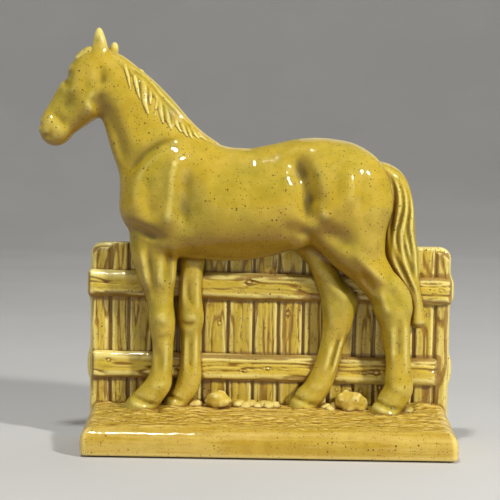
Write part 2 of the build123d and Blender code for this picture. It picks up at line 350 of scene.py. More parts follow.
HOOF_FORE_NEAR = (
    (-71.5, 7, 29.5, 7.8, 7.5, 10), (-75.5, 6.5, 24.5, 8.8, 8.4, 10), (-77.6, 6.5, 20, 10, 9.4, 10),
)
FORELEG_FAR = (
    (-49, 17, 122, 9.5, 8, 8), (-47.4, 17, 110, 7.5, 7.4, 8), (-48, 17, 100, 6.7, 7.2, 8),
    (-48.4, 17, 91, 6.6, 7.2, 8), (-48.3, 17, 81, 7.8, 8, 8), (-47.9, 17, 75, 8, 8.2, 8),
    (-47.7, 17, 65, 6.1, 6.6, 8), (-47.5, 17, 51.5, 6, 6.2, 8), (-47.8, 17, 41, 7, 6.9, 8),
    (-49.6, 17, 34, 7.3, 7.2, 8), (-52.8, 16.5, 29, 6.3, 6.8, 8),
)
HOOF_FORE_FAR = (
    (-52.5, 16.5, 29.5, 6.2, 6.6, 8), (-55.3, 16, 24.5, 7, 7.6, 8), (-56.4, 16, 20.5, 8, 8.2, 8),
)
HINDLEG_NEAR = (
    (38, 3, 146, 22, 14, 14), (42.5, 3, 134, 20.5, 14, 15), (48, 4, 123, 17.5, 13, 15),
    (55.5, 5, 111.5, 13, 11.2, 15), (63.2, 6, 101, 11, 9.8, 14), (69.2, 7, 92, 10.5, 9.2, 14),
    (72.3, 7, 84, 11, 9.4, 14), (74.1, 7, 76, 9.4, 8.8, 14), (75.1, 7, 68, 8.4, 8, 14),
    (76.1, 7, 59, 7.6, 7.4, 14), (76.9, 7, 50, 7.5, 7.4, 14), (77, 7, 42, 8.3, 8.2, 14),
    (77.4, 6.5, 36.5, 8.6, 8.4, 13), (74.5, 6, 30.5, 8.2, 8, 12),
)
HOCK_NEAR = (
    (72, 7, 98, 6, 7, 10), (77.2, 7, 92, 5.9, 6.4, 10), (78.2, 7, 85, 5.8, 6.2, 10),
)
HOOF_HIND_NEAR = (
    (73, 6, 29.5, 7.8, 7.6, 10), (70.2, 5, 23.5, 8.6, 8.6, 10), (69.5, 5, 18.5, 9.8, 9.6, 10),
)
HINDLEG_FAR = (
    (20, 17, 126, 11, 9, 8), (26.2, 17, 115, 7.2, 8, 8), (32.2, 17, 104, 7.4, 7.8, 8),
    (37.8, 17, 93.5, 9, 8, 8), (40.4, 17, 85, 10, 8.6, 8), (40.2, 17, 76, 9, 7.8, 8),
    (38.4, 17, 65, 7.5, 6.9, 8), (35.9, 17, 54.5, 7, 6.7, 8), (33.4, 17, 45.5, 7.2, 7, 8),
    (30.6, 17, 38, 7.8, 7.6, 8), (26.3, 16.5, 31, 7.8, 7.4, 8),
)
HOCK_FAR = (
    (42, 17, 92, 6.5, 7, 8), (48.2, 17, 87.4, 4.6, 5.5, 6), (47.4, 17, 81, 3.6, 5, 6),
    (44, 17, 70, 4, 5, 6),
)
HOOF_HIND_FAR = (
    (23, 16.5, 29, 7.3, 7.4, 8), (20.8, 16, 23.5, 8.3, 8.2, 8), (20.3, 16, 19, 9.5, 9.2, 8),
)
SHEATH = (
    (21, 3, 131, 5, 6), (17, 2, 126.5, 6, 6.5), (14.3, 2, 123.8, 4.6, 5),
)


def sculpt_horse():
    """The horse without its mane and tail."""
    clay = Clay((-146, -20, 10), (96, 34, 252), BODY_VOXEL)
    clay.limb(TORSO, 2)
    clay.limb(NECK, 12)
    # shoulder, breast and upper arm; loin, haunch and buttock stand proud of the barrel
    clay.limb(((-58, 0, 168, 10, 9, 9), (-66, -1, 155, 15, 10.5, 9), (-69, -1, 141, 15, 11, 9)), 7)
    clay.limb(((-73, 3, 152, 14, 12, 12), (-77, 3.5, 142, 12, 11.5, 11)), 8)
    clay.limb(((-60, 0, 136, 12, 11.5, 9), (-61, 2, 124, 10, 10, 9)), 6)
    clay.limb(((16, 4, 164, 13, 12, 12), (28, 1, 160, 19, 14.5, 14), (40, 1, 153, 21, 15, 14)), 9)
    clay.limb(((51, 3, 161, 15, 11, 11), (55.6, 3, 153, 14.4, 11, 11), (56.2, 3, 145, 13.5, 11, 11)), 6)
    clay.limb(((56.2, 3, 145, 13.5, 11, 11), (55, 3, 137, 13, 11, 11), (53.5, 3.5, 127, 12, 10.5, 11)), 6)
    clay.limb(HINDLEG_NEAR, 7)
    clay.limb(HOCK_NEAR, 4)
    clay.limb(HINDLEG_FAR, 5)
    clay.limb(HOCK_FAR, 2.5)
    clay.limb(((26, 1, 146, 8, 9, 6), (31, 0, 137, 8.5, 10, 6)), 7)  # stifle
    clay.limb(CRANIUM, 7)
    clay.limb(NOSE, 4)
    clay.limb(CHEEK, 3)
    clay.soften(SOFTEN_ROUNDS)
    clay.limb(FORELEG_NEAR, 3)
    clay.limb(FORELEG_FAR, 3)
    clay.limb(SHEATH, 3)
    for hoof in (HOOF_FORE_NEAR, HOOF_FORE_FAR, HOOF_HIND_NEAR, HOOF_HIND_FAR):
        clay.limb(hoof, 2)
    clay.limb(EAR_NEAR, 2.5)
    clay.limb(EAR_FAR, 2)
    sculpt_details(clay)
    clay.soften(1)
    return clay


BOTH_SIDES = (
    # (line, width, height): shoulder ridge, hollow behind it, neck's foot, breast
    (((-51, 181), (-55, 175), (-58.6, 164), (-59.5, 150), (-61, 137), (-61.7, 122)), 4, 2.4),
    (((-46, 172), (-48.5, 160), (-49, 148), (-50, 136), (-51, 125)), 6, -2.6),
    (((-52, 185.5), (-64, 181.5), (-71.7, 177), (-77.5, 172), (-83, 165), (-87, 158)), 3.2, -1.6),
    (((-56, 178), (-66, 174), (-74, 168), (-79, 160), (-82, 150)), 4, 1.2),
    (((-69, 166), (-72, 154), (-71, 141), (-70, 132)), 4.6, -1.5),
    (((-80, 158), (-81, 148), (-79, 139)), 4, 0.8),
    # windpipe, the channel beside it and the throat
    (((-97, 192), (-94, 182), (-92, 172), (-89.5, 160)), 2.6, 0.5),
    (((-100, 213), (-99.6, 205), (-96, 194), (-91.6, 183), (-88, 172), (-86, 162)), 4.8, -2.2),
    (((-84, 206), (-78, 192), (-74, 180)), 6, -0.9),
    # flank, loin, haunch, stifle and thigh
    (((10, 178), (14.5, 169), (18.5, 160), (21, 151), (22.5, 142), (23.5, 132)), 6.6, -6.4),
    (((7, 172), (13, 178), (22, 178.5), (30, 176)), 5, 1),
    (((36, 172), (38, 158), (37, 144)), 5, -1),
    (((43, 173), (45, 158), (44.5, 142)), 4, 0.9),
    (((51, 170), (52, 155), (51, 139)), 3.6, -0.8),
    (((23.5, 150), (28, 142.5), (34, 136.5)), 4, 1.8),
    (((24, 134), (33, 130.5), (42, 125.5), (49, 118)), 5, -2),
    (((46, 120), (58, 108.5), (70, 98)), 3.6, 1.5),
    # ribs, belly and its fold
    (((-36, 165), (-37, 150), (-34, 138)), 5, 0.7),
    (((-44, 122), (-28, 119), (-10, 120), (6, 124)), 4.2, -1),
    (((4, 131), (14, 131.5), (22, 129)), 4, -1),
    # brow, eye socket, cheekbone, face, jaw and poll
    (((-118.5, 228), (-121, 223.5), (-122, 219)), 1.8, 0.7),
    (((-118.6, 223.4), (-120.8, 220), (-122.2, 216), (-123.6, 211.5)), 2.3, -2.1),
    (((-119.6, 218), (-122, 216.6)), 1.5, 0.8),
    (((-121, 211), (-117, 211), (-111, 213)), 3.2, 0.7),
    (((-125, 208), (-119, 204), (-112, 201), (-106, 200)), 6, -0.8),
    (((-107, 230), (-106, 218), (-107, 208), (-110, 198), (-115, 193)), 3.6, 1.2),
    (((-101.5, 226), (-100.5, 219), (-100, 212)), 3.4, -0.9),
    # muzzle, nostril, mouth and chin
    (((-134.5, 199), (-128.5, 196), (-123.5, 192), (-121.5, 187)), 2.4, -1),
    (((-136, 195.5), (-131, 193), (-127, 189), (-126, 184.5)), 2.6, 0.6),
    (((-137.8, 191.6), (-138.6, 189.6)), 1.3, -2.2),
    (((-131.2, 188), (-131.3, 184), (-131.6, 180)), 1.2, -0.8),
    (((-136, 184), (-132, 183.4)), 1, -0.8),
)

NEAR_SIDE = (
    # breast's lower edge, forearm tendons, knee, cannon, fetlock, coronet of the near foreleg
    (((-88, 136), (-80.5, 131.5), (-74.5, 128.5), (-68.6, 126), (-61, 124)), 3, -2),
    (((-74.2, 124), (-71.8, 110), (-70, 96), (-69, 86)), 2.4, -1.6),
    (((-61.8, 123), (-60.6, 108), (-61.2, 94)), 2, -1),
    (((-77.1, 121), (-75.2, 106), (-71.8, 91)), 2.2, 1),
    (((-65.9, 121), (-65.3, 106), (-65.8, 90)), 2.8, 1.2),
    (((-57.8, 120), (-57.8, 106), (-58, 91)), 1.8, 0.8),
    (((-67, 81), (-64, 77), (-61, 76)), 3, 0.7),
    (((-68, 66), (-64, 65), (-58, 67)), 1.8, -0.4),
    (((-67, 60), (-66, 52), (-66, 42)), 1.5, -0.9),
    (((-62, 66), (-61.5, 54), (-61.6, 42)), 1.4, 0.9),
    (((-58.6, 64), (-58.4, 54), (-58.6, 44)), 1.3, 0.6),
    (((-71, 38), (-67, 36.5), (-61, 39)), 2.4, 0.5),
    (((-83, 30.5), (-78, 29), (-72, 26.5), (-65, 25)), 1.2, -1.7),
    (((-84, 26.5), (-79, 25.5), (-73, 23.5)), 1.6, 0.8),
    # near hind leg: gaskin, hock, cannon, fetlock, coronet
    (((50, 108), (58, 99), (65, 90)), 3, -1.3),
    (((69, 97), (73.4, 92), (75.4, 84)), 2.6, -0.8),
    (((63, 98), (67, 88), (70, 79)), 2.6, 1.1),
    (((72.4, 78), (72.4, 64), (72.6, 48)), 1.8, 0.9),
    (((76.6, 80), (76.2, 68), (76.8, 52)), 1.6, -1.1),
    (((80.6, 82), (80.6, 68), (80.8, 54), (82, 44)), 1.6, 1),
    (((71, 41), (75, 38), (82, 38)), 2.4, 0.6),
    (((60, 30), (66, 28.5), (72, 26), (79, 25)), 1.2, -1.7),
    (((60, 26), (65, 25), (71, 23.5)), 1.6, 0.8),
    # ear's hollow
    (((-104.6, 234), (-104.6, 239), (-104.2, 243)), 1.6, -0.7),
)

FAR_LEGS = (
    # foreleg: forearm, knee, cannon, tendon, coronet
    (((-51.5, 108), (-52.7, 94), (-52, 82)), 1.8, 1),
    (((-48.5, 101), (-48.9, 90), (-46, 82)), 1.7, -1.4),
    (((-43.8, 108), (-43.6, 92), (-43.2, 78)), 1.5, 1.1),
    (((-50, 80), (-47, 77), (-44, 76)), 2.2, 0.8),
    (((-54, 74), (-49, 72), (-44, 74)), 1.5, -0.9),
    (((-47.2, 69), (-47.6, 54), (-47.2, 40)), 1.3, -1.1),
    (((-44, 70), (-44, 58), (-44, 44)), 1.2, 0.9),
    (((-50.5, 68), (-51, 54), (-51.4, 42)), 1.6, 0.7),
    (((-62, 29), (-57, 28), (-50, 25.5)), 1.2, -1.5),
    # hind leg: gaskin, point of the hock, cannon, tendon, fetlock, coronet
    (((26, 112), (33.9, 102), (41, 92.5), (47.5, 86)), 3, 1.8),
    (((38, 106), (43.5, 98), (47, 92)), 3, -1.2),
    (((35, 88), (36, 80), (38, 70)), 2.4, 0.8),
    (((37.2, 64), (35.1, 53.5), (32.2, 43.5)), 1.9, 1.3),
    (((42.5, 70), (40.4, 62), (38, 53), (35.3, 42)), 1.4, -1.5),
    (((44.4, 71), (41.6, 59), (38.8, 48), (36, 40)), 1.4, 1.1),
    (((23, 38), (28, 36), (33, 37)), 2, 0.6),
    (((12, 30), (18, 28.5), (24, 26), (30, 25)), 1.2, -1.6),
)


def sculpt_details(clay):
    """Muscles, hollows, eyes, nostrils, mouth, tendons and the tops of the hooves."""
    for table, near, far in ((BOTH_SIDES, True, True), (NEAR_SIDE, True, False), (FAR_LEGS, False, True)):
        for line, width, height in table:
            clay.relief(line, width, height, near, far)


MANE_LOCKS = (
    # each lock runs from the crest to its tip: (x, z) points, then its widest radius
    (((-88, 225.5), (-86, 219), (-84.2, 211)), 1.2),
    (((-83, 223), (-81.2, 215), (-78.8, 205.5)), 1.6),
    (((-79.5, 221), (-76.8, 212), (-76, 204.5), (-73.6, 197)), 2.5),
    (((-76, 218.5), (-73.2, 210), (-72.6, 202.5)), 1.7),
    (((-71.5, 214), (-68.8, 206.5), (-69.8, 199.8)), 1.9),
    (((-68.5, 210), (-67, 201), (-65, 192)), 2.3),
    (((-66, 207), (-63.2, 197), (-60.2, 188.4)), 2.4),
    (((-62.5, 203), (-60.2, 196), (-59.2, 190)), 1.8),
    (((-60, 200.5), (-57.8, 193), (-54.6, 187)), 2),
    (((-56.5, 197), (-53.8, 190), (-50.8, 184.4)), 2),
    (((-53, 193.5), (-50, 187.5), (-47.8, 183)), 1.7),
    (((-49, 189.5), (-46.8, 186.4), (-44, 183)), 1.6),
    (((-45.5, 186.6), (-43, 184.6), (-39.6, 182.4)), 1.4),
)
CREST = (
    (-101, 6, 231, 4, 5, 5), (-93, 6, 227.5, 5, 6, 5), (-84, 6, 220.5, 5.5, 6.5, 5),
    (-73, 6, 211.5, 5.5, 7, 5.5), (-63, 6.5, 201.5, 5.5, 7.5, 6), (-54, 7, 192, 5, 7.5, 6),
    (-44, 7.5, 184, 4, 7, 6), (-34, 8, 179, 2.5, 5, 5),
)
FORELOCK = (
    (-101, 5.5, 232, 3.6, 4), (-106, 5, 233.5, 3.6, 4), (-111, 5, 232.5, 3.4, 3.8),
    (-115.5, 5, 229.5, 2.4, 3),
)
MANE_GROOVE = (
    (-86, 224), (-77.5, 218.9), (-72, 213.8), (-67.6, 208.2), (-60.3, 200.8), (-52, 192.8), (-46, 187.6),
)


def sculpt_mane(horse):
    """The crest and the locks that fall from it on the near side, laid on the neck."""
    clay = Clay((-122, -16, 172), (-28, 20, 244), HAIR_VOXEL)
    clay.limb(CREST, 1)
    for lock, widest in MANE_LOCKS:
        line = side_line(lock, 1.0)
        share = np.linspace(0, 1, len(line))
        surface = horse.near_surface(line[:, 0], line[:, 2])
        surface = np.where(np.isnan(surface), 4.0, np.minimum(surface, 4.0))
        trend = np.polyfit(share, surface, 2)
        rows = [
            (x, y, z, widest * (1.15 - 0.85 * t**1.5), 2.3 - 1.3 * t, 3.0)
            for x, y, z, t in zip(line[:, 0], np.polyval(trend, share), line[:, 2], share)
        ]
        clay.limb(rows, 0.5, spacing=0.4)
    clay.limb(FORELOCK, 2)
    clay.relief(MANE_GROOVE, 0.9, -0.8, ends=0.1)
    clay.soften(1)
    return clay


TAIL = (
    (60, 9, 168, 4.5, 7, 7), (67, 10, 164.8, 5.8, 8, 8), (71.6, 11, 159.5, 7.6, 9, 9),
    (74.4, 11.5, 152.5, 8, 9.5, 12), (76, 12, 144, 8.3, 9.5, 14), (76.5, 12, 135, 8.7, 9, 14),
    (76.3, 12, 126, 9.6, 8.6, 14), (77.5, 12, 117, 10, 8.2, 14), (79.7, 12.5, 108.5, 8.4, 7.6, 13),
    (82.4, 13, 101, 6.2, 6.8, 13), (85.4, 14, 93, 4.5, 5.8, 12), (87.6, 15, 85, 4.1, 5.4, 11),
    (88.3, 15.5, 76.5, 4.9, 5.6, 10),
)
TAIL_GROOVES = (
    ((64, 169), (70.5, 160), (72.4, 150), (71.5, 138), (70.5, 128), (71, 118)),
    ((68, 167), (75.5, 157), (77.6, 146), (75.6, 136), (74, 128), (76, 117), (80, 105)),
    ((74, 164), (79.6, 154), (81, 143), (80.4, 132), (82.4, 121), (84.6, 108), (86, 96)),
    ((72, 124), (74.6, 114), (80, 103), (85.4, 91), (87.4, 80)),
    ((78, 130), (79.2, 120), (83.4, 108), (86, 99)),
)


def sculpt_tail():
    """The tail, with strands parted by deep grooves."""
    clay = Clay((54, -4, 68), (98, 28, 182), HAIR_VOXEL)
    clay.limb(TAIL, 1)
    for groove in TAIL_GROOVES:
        clay.relief(groove, 1.2, -2.0)
        clay.relief([(x + 2.7, z + 0.6) for x, z in groove], 1.3, 0.6)
    clay.soften(1)
    return clay


# ---- base and stones
def rounded(radius, *sides):
    """The distance to a shape with rounded edges, from the distances past its sides less the radius."""
    outside = np.sqrt(sum(np.maximum(side, 0) ** 2 for side in sides))
    return outside + np.minimum(reduce(np.maximum, sides), 0) - radius


def rounded_box(xs, ys, zs, low, high, radius):
    """Signed distance to a box with rounded edges."""
    middle, half = (np.array(low) + high) / 2, (np.array(high) - low) / 2 - radius
    px = np.abs(xs[:, None, None] - middle[0]) - half[0]
    py = np.abs(ys[None, :, None] - middle[1]) - half[1]
    pz = np.abs(zs[None, None, :] - middle[2]) - half[2]
    return rounded(radius, px, py, pz)


def ground_height(x, y):
    """The ground's height, which falls from the fence's foot to the lip, with grassy waves along the base."""
    fall = np.clip((PLANK_FRONT_Y - y) / (PLANK_FRONT_Y - PLINTH_LOW[1] - 4), 0, 1.05)
    lip = PLINTH_HIGH[2] + 1.0
    height = lip + (GROUND_TOP + 1.2 - lip) * (1 - fall**2)
    mound = 4.0 * np.exp(-(((x - 92) / 12) ** 2) - ((y - 24) / 8) ** 2)
    for foot_x, foot_y in ((-76, 4), (-55, 14), (21, 13), (70, 3)):
        mound = mound + 0.9 * np.exp(-(((x - foot_x) / 13) ** 2) - ((y - foot_y) / 11) ** 2)
    swell = 0.5 * noise(x / 16, y / 9, seed=3)
    warp = 2.2 * noise(x / 14, y / 8, seed=5)
    blades = layered(x / 6.5, (y + warp) / 2.1, seed=7, octaves=3)
    grass = smoothstep(PLINTH_LOW[1] + 4.5, PLINTH_LOW[1] + 8, y + 1.2 * noise(x / 9, 0.5, seed=9))
    return height + mound + grass * (swell + 1.05 * blades)


def sculpt_base():
    """The plinth with its rounded lip, and the ground on it."""
    low = np.array((PLINTH_LOW[0], PLINTH_LOW[1], 0.9))
    high = np.array((PLINTH_HIGH[0], PLINTH_HIGH[1], PLINTH_HIGH[2] + 1.0))
    clay = Clay(low - 3, (high[0] + 3, high[1] + 3, GROUND_TOP + 8), BASE_VOXEL)
    xs, ys, zs = clay.axes
    height = zs[None, None, :]
    slab = rounded_box(xs, ys, zs, (low[0], low[1], -80), (high[0], high[1], 100), 3.5)
    slab = shared(slab, height - high[2], 9.0)
    slab = shared(slab, low[2] - height, 2.5)
    plan = rounded_box(xs, ys, zs, (low[0], low[1] + 1.5, -80), (high[0], high[1], 100), 4.5)
    gx, gy = np.meshgrid(xs, ys, indexing="ij")
    ground = (height - ground_height(gx, gy)[:, :, None]) * 0.85
    ground = np.maximum(ground, 4 - height)
    clay.field = melt(slab, shared(plan + 1.2, ground, 7.0), 3.0).astype(np.float32)
    return clay


def sculpt_stone(low, high, seed, rough):
    """A lumpy stone that fills a box."""
    middle, half = (low + high) / 2, (high - low) / 2
    clay = Clay(low - 2.5, high + 2.5, STONE_VOXEL)
    grid = np.meshgrid(*clay.axes, indexing="ij")
    lumps = rough * layered(*(g / 6.5 for g in grid), seed=seed, octaves=2)
    reach = np.sqrt(sum(((g - m) / h) ** 2 for g, m, h in zip(grid, middle, half)))
    clay.field = ((reach - 0.95) * half.min() - lumps).astype(np.float32)
    return clay


# ---- boards
def wood_grain(along, across, seed, knots):
    """How far the carved grain stands out, from about -1 in a groove to 1 on a ridge."""
    bent = across + 1.1 * noise(along / 16, across / 9, seed=seed)
    for knot_along, knot_across, size in knots:
        away = np.hypot((along - knot_along) / (2.2 * size), (across - knot_across) / size)
        push = np.sign(across - knot_across) * 1.3 * size * np.exp(-(away**2))
        bent = bent - push
    broad, fine = noise(bent / 2.6, along / 30, seed=seed + 11), noise(bent / 1.5, along / 18, seed=seed + 12)
    grain = 0.35 * broad + 0.3 - 1.3 * np.exp(-((broad / 0.16) ** 2)) - 0.55 * np.exp(-((fine / 0.16) ** 2))
    for knot_along, knot_across, size in knots:
        away = np.hypot((along - knot_along) / size, (across - knot_across) / (0.8 * size))
        grain = grain + 1.2 * np.exp(-((away / 0.6) ** 2)) - 1.0 * np.exp(-(((away - 1.1) / 0.35) ** 2))
    return grain


def loft_faces(rings, size):
    """The faces of a tube of rings of the same size, with a cap at each end."""
    index = np.arange(rings * size).reshape(rings, size)
    a, b = index[:-1], index[1:]
    quads = np.stack([a, np.roll(a, -1, 1), np.roll(b, -1, 1), b], -1).reshape(-1, 4)
    return quads.tolist() + [index[0][::-1].tolist(), index[-1].tolist()]


def board_mesh(span, width, back, front, edge, carving, place, ragged, seed, corners):
    """A closed board, where place turns its ranges along (span), in depth and across (width) into x, y and z.

    edge is its edges' radius, carving the (depth, seed, knots) of its grain, each corner (end, side, radius).
    """
    thick = back - front
    whole = width[1] - width[0]
    arc = np.linspace(0, math.pi / 2, 5)
    left = [(0.0, 0.0), (0.0, (thick - edge) * 0.5)]
    left += [(edge * (1 - math.cos(a)), thick - edge + edge * math.sin(a)) for a in arc]
    inner = [(t, thick) for t in np.arange(edge + BOARD_STEP, whole - edge, BOARD_STEP)]
    across, depth = np.array(left + inner + [(whole - t, d) for t, d in reversed(left)]).T
    count = int((span[1] - span[0]) / (BOARD_STEP * 1.3)) + 1
    rim = edge * np.array((0.1, 0.3, 0.6))
    along = span[0] + (span[1] - span[0]) * np.linspace(0, 1, count)
    along = np.unique(np.concatenate([along, span[0] + rim, span[1] - rim]))
    s, t = np.meshgrid(along, across, indexing="ij")
    d = np.broadcast_to(depth, s.shape).copy()
    end = np.minimum(s - span[0], span[1] - s)
    lost = edge - np.sqrt(np.maximum(edge**2 - np.maximum(edge - end, 0) ** 2, 0))
    d = np.minimum(d, np.maximum(thick - lost, 0.2))
    facing = smoothstep(0.45, 0.95, d / thick)
    t = t + ragged * noise(s / 10, t / 30, seed=seed) * np.where(t < whole / 2, 1, -1) * 0.7
    strength, grain_seed, knots = carving
    grain = strength * wood_grain(s, t + width[0], grain_seed, knots)
    d = d + facing * (grain + 0.25 * noise(s / 18, t / 9, seed=seed + 1))
    for end, side, radius in corners:
        inset = np.clip(radius - (t if side < 0 else whole - t), 0, radius)
        near_end = smoothstep(3.5 * radius, 0, (span[1] - s) if end > 0 else (s - span[0]))
        s = s - end * (radius - np.sqrt(radius**2 - inset**2)) * near_end
    return place(s, back - d, t + width[0]).reshape(-1, 3), loft_faces(*s.shape)


def plank_place(s, y, t):
    return np.stack([t, y, s], -1)


# ---- meshes
def add_object(name, data):
    """A Blender object in the scene."""
    made = bpy.data.objects.new(name, data)
    bpy.context.scene.collection.objects.link(made)
    return made


def make_mesh(name, points, faces, smooth=True):
    """A Blender object from points in millimetres."""
    mesh = bpy.data.meshes.new(name)
    mesh.from_pydata((np.asarray(points, float) * MM).tolist(), [], faces)
    mesh.validate()
    mesh.polygons.foreach_set("use_smooth", np.full(len(mesh.polygons), smooth))
    mesh.update()
    return add_object(name, mesh)


def add_piece(name, points, faces, material, nodes=None, slot="glaze", smooth=True):
    """A piece of the object, which rides on its one body and stands for its CAD nodes."""
    piece = make_mesh(name, points, faces, smooth)
    piece.data.materials.append(material)
    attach(piece, "root")
    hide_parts(*(nodes or [name]))
    return piece


def part_labels(count, links):
    """A label for each of count vertices, the same for all those that rows of links join up."""
    label = np.arange(count)
    while True:
        fresh = label.copy()
        lowest = label[links].min(1)
        for column in links.T:
            np.minimum.at(fresh, column, lowest)
        fresh = fresh[fresh]
        if np.array_equal(fresh, label):
            return label
        label = fresh


def biggest_part(points, faces):
    """Keeps the largest connected part of a skin."""
    label = part_labels(len(points), faces)[faces[:, 0]]
    names, counts = np.unique(label, return_counts=True)
    used, faces = np.unique(faces[label == names[counts.argmax()]], return_inverse=True)
    return points[used], faces.reshape(-1, 4)


def clay_piece(name, clay, material, nodes=None):
    points, faces = biggest_part(*clay.skin())
    return add_piece(name, points, faces.tolist(), material, nodes)


def read(items, key, width, kind=float):
    """One property of all of a mesh's vertices or edges, as rows of numbers."""
    values = np.zeros(len(items) * width, kind)
    items.foreach_get(key, values)
    return values.reshape(-1, width)


def edge_curvature(mesh, rounds):
    """How hollow the surface is at each vertex, closely and broadly: above 0 in grooves, below on ridges."""
    co, normal = read(mesh.vertices, "co", 3) / MM, read(mesh.vertices, "normal", 3)
    a, b = read(mesh.edges, "vertices", 2, int).T
    count = len(co)
    weight = np.maximum(np.bincount(a, minlength=count) + np.bincount(b, minlength=count), 1)

    def mean(at_a, at_b):
        """At each vertex, the mean of what its edges bring to their two ends."""
        return (np.bincount(a, at_a, count) + np.bincount(b, at_b, count)) / weight

    def rub(value, times):
        """Smooths a value over the surface."""
        for _ in range(times):
            value = 0.5 * (value + mean(value[b], value[a]))
        return value

    gap = co[b] - co[a]
    length = np.maximum((gap**2).sum(1), 1e-6)
    hollow = 2 * mean((gap * normal[a]).sum(1) / length, -(gap * normal[b]).sum(1) / length)
    smooth = np.stack([rub(column, BROAD_ROUNDS) for column in co.T], 1)
    broad = ((smooth - co) * normal).sum(1)
    return co, normal, rub(hollow, rounds), rub(broad, BROAD_ROUNDS // 3)


class Surroundings(Clay):
    """One coarse distance field of the whole object, to find where its pieces crowd each other."""

    def __init__(self):
        super().__init__(np.array(CAD_LOW) / MM - 12, np.array(CAD_HIGH) / MM + 12, 1.5)

    def add_clay(self, clay):
        slices, axes = self.window(clay.low, clay.low + clay.step * (clay.count - 1))
        grid = np.stack(np.meshgrid(*axes, indexing="ij"), -1)
        values = clay.sample(grid.reshape(-1, 3)).reshape(grid.shape[:3])
        self.field[slices] = np.minimum(self.field[slices], values)

    def add_box(self, low, high):
        slices, axes = self.window(np.array(low) - 14, np.array(high) + 14)
        self.field[slices] = np.minimum(self.field[slices], rounded_box(*axes, low, high, 0.8))

    def crowding(self, co, normal, reach):
        """From 0 in the open to 1 deep in a corner, looking reach millimetres out from the surface."""
        total = 0.0
        for share in (0.35, 0.65, 1.0):
            out = self.sample(co + normal * (reach * share))
            total = total + np.clip(1 - out / (reach * share), 0, 1.5) / 3
        return np.clip(total, 0, 1)


def weather(piece, around, rounds=1, groove_scale=1.0):
    """Stores at each vertex how far the glaze pools (crevice, broadly dip, also painted shade) or thins
    (ridge, broadly crest, also a painted highlight), how crowded the place is (contact, broadly shade:
    painted shade) and how far it faces down (under: painted shade on undersides)."""
    co, normal, hollow, broad = edge_curvature(piece.data, rounds)
    layers = {
        "crevice": smoothstep(0.04, 0.45, hollow * groove_scale),
        "ridge": smoothstep(0.05, 0.5, -hollow * groove_scale),
        "contact": around.crowding(co, normal, 2.2),
        # shade: painted shade where the object crowds round a place, looking 12 mm out
        "shade": around.crowding(co, normal, 12.0),
        # under: painted shade on surfaces that face down, above the ground
        "under": smoothstep(-0.15, 0.8, -normal[:, 2]) * smoothstep(20, 60, co[:, 2]),
        # crest: broad swells, where the glaze thins, painted lighter as a painted highlight too
        "crest": smoothstep(0.15, 1.1, -broad),
        # dip: broad hollows, where the glaze pools, painted darker as painted shade too
        "dip": smoothstep(-0.02, 0.6, broad),
    }
    for name, values in layers.items():
        layer = piece.data.attributes.new(name, "FLOAT", "POINT")
        layer.data.foreach_set("value", values.astype(np.float32))


# ---- materials
class Painter:
    """Short names for the shader nodes that the materials use."""

    def __init__(self, name):
        self.material = bpy.data.materials.new(name)
        self.material.use_nodes = True
        self.tree = self.material.node_tree
        self.shader = self.tree.nodes["Principled BSDF"]
        self.place = self.node("TexCoord", {}).outputs["Object"]

    def feed(self, node, feeds):
        """Links a node's inputs to sockets, or sets them to plain values."""
        for key, value in feeds.items():
            if isinstance(value, bpy.types.NodeSocket):
                self.tree.links.new(value, node.inputs[key])
            else:
                node.inputs[key].default_value = value

    def node(self, kind, feeds, **settings):
        made = self.tree.nodes.new("ShaderNode" + kind)
        for key, value in settings.items():
            setattr(made, key, value)
        self.feed(made, feeds)
        return made

    def attribute(self, name):
        return self.node("Attribute", {}, attribute_name=name).outputs["Fac"]

    def noise(self, size_mm, detail=3.0, rough=0.5, place=None):
        feeds = {"Vector": place or self.place, "Scale": 1000 / size_mm, "Detail": detail, "Roughness": rough}
        return self.node("TexNoise", feeds, noise_dimensions="3D").outputs["Fac"]

    def stretched(self, x, y, z):
        """The object's own coordinates, scaled to draw noise out along the axis with the small number."""
        return self.node("Mapping", {"Vector": self.place, "Scale": (x, y, z)}).outputs[0]

    def math(self, operation, a, b, clamp=False):
        return self.node("Math", {0: a, 1: b}, operation=operation, use_clamp=clamp).outputs[0]

    def times(self, a, b, clamp=False):
        return self.math("MULTIPLY", a, b, clamp)

    def span(self, value, low, high, to_low=0.0, to_high=1.0):
        """Turns the range from low to high into that from to_low to to_high, with a soft start and end."""
        feeds = {"Value": value, "From Min": low, "From Max": high, "To Min": to_low, "To Max": to_high}
        return self.node("MapRange", feeds, interpolation_type="SMOOTHSTEP").outputs["Result"]

    def blend(self, amount, a, b):
        """Turns colour a into b by an amount. A Mix node's colours are inputs 6 and 7 and output 2."""
        return self.node("Mix", {"Factor": amount, 6: a, 7: b}, data_type="RGBA").outputs[2]

    def bump(self, height, strength, distance):
        feeds = {"Height": height, "Strength": strength, "Distance": distance}
        return self.node("Bump", feeds).outputs[0]

    def specks(self, cell_mm, share, largest):
        """Small round dark dots, one in some of the cells, of many sizes."""
        wobble = self.node("TexNoise", {"Vector": self.place, "Scale": 2600.0}, noise_dimensions="3D")
        push = {0: wobble.outputs["Color"], 1: (0.0004, 0.0004, 0.0004), 2: self.place}
        bend = self.node("VectorMath", push, operation="MULTIPLY_ADD")
        feeds = {"Vector": bend.outputs[0], "Scale": 1000.0 / cell_mm}
        cells = self.node("TexVoronoi", feeds, voronoi_dimensions="3D", feature="F1")
        split = self.node("SeparateColor", {0: cells.outputs["Color"]})
        size = self.span(split.outputs[0], 1 - share, 1.0, 0.0, largest)
        return self.times(self.math("SUBTRACT", size, cells.outputs["Distance"]), 22.0, clamp=True)


def linear(red, green, blue):
    """A colour from 0 to 255 steps of a screen, as Blender's linear values."""
    parts = []
    for part in (red, green, blue):
        c = part / 255
        parts.append(c / 12.92 if c <= 0.04045 else ((c + 0.055) / 1.055) ** 2.4)
    return (*parts, 1.0)


